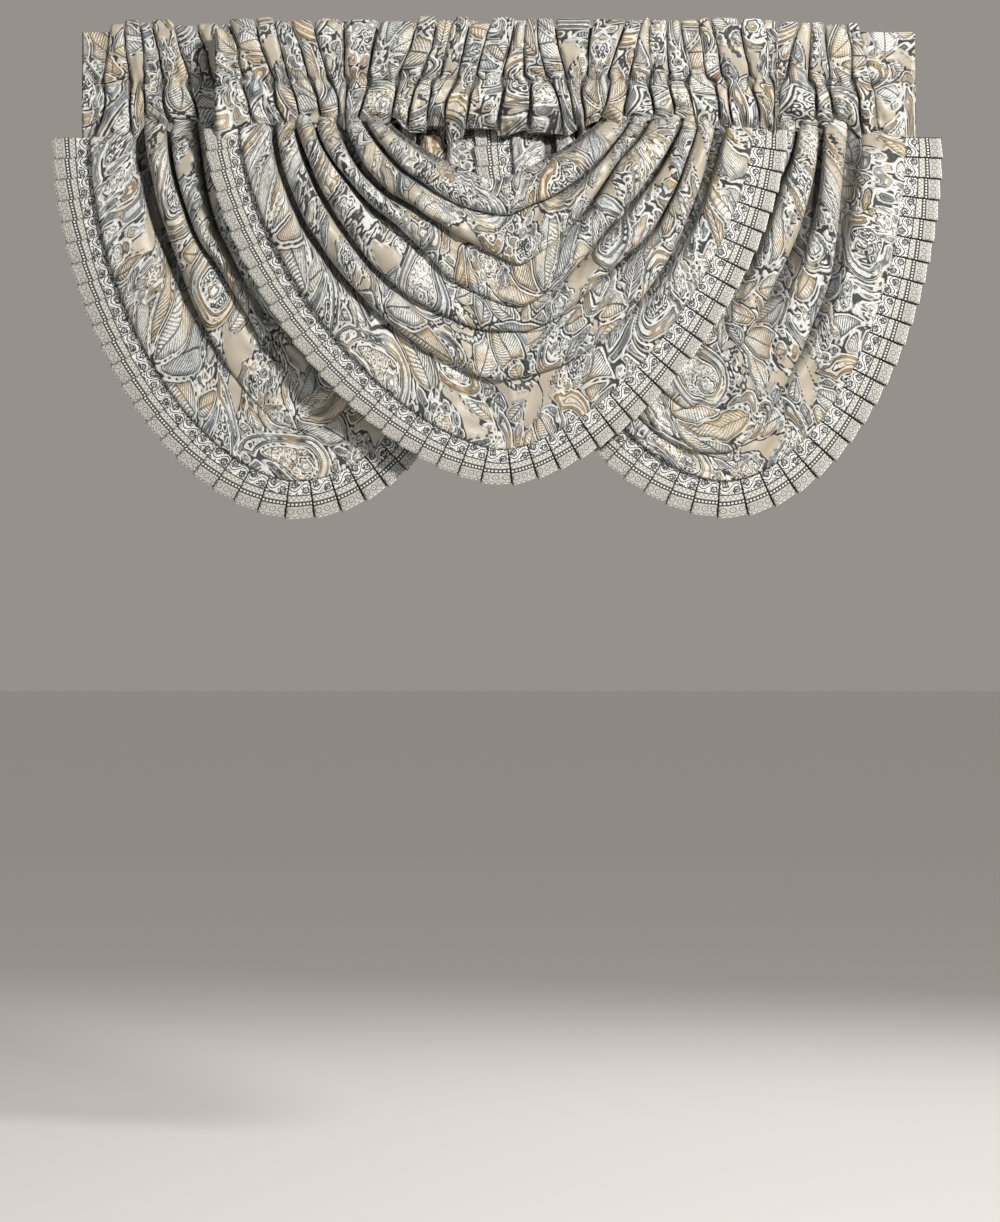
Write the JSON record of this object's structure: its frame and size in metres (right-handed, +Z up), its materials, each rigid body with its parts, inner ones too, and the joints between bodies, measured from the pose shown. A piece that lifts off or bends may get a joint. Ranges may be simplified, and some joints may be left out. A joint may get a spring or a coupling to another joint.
{
  "type": "three-swag gathered valance",
  "caption": "Overlapping gathered swags with knife-pleated borders, hung from rod-pocket headings with frilled tops.",
  "frame": {"origin": "middle of the top edge, in the plane of the front rod pocket", "axes": "+X to the right as a viewer sees it, -Y towards the viewer, +Z up"},
  "size_m": [1.5941, 0.1453, 0.8903],
  "materials": {
    "paisley_cloth": "satin",
    "border_cloth": "satin"
  },
  "bodies": {
    "root": {"heading_left": "paisley_cloth", "heading_centre": "paisley_cloth", "heading_right": "paisley_cloth", "swag_left": "paisley_cloth", "swag_centre": "paisley_cloth", "swag_right": "paisley_cloth", "border_left": "border_cloth", "border_centre": "border_cloth", "border_right": "border_cloth"}
  },
  "joints": []
}
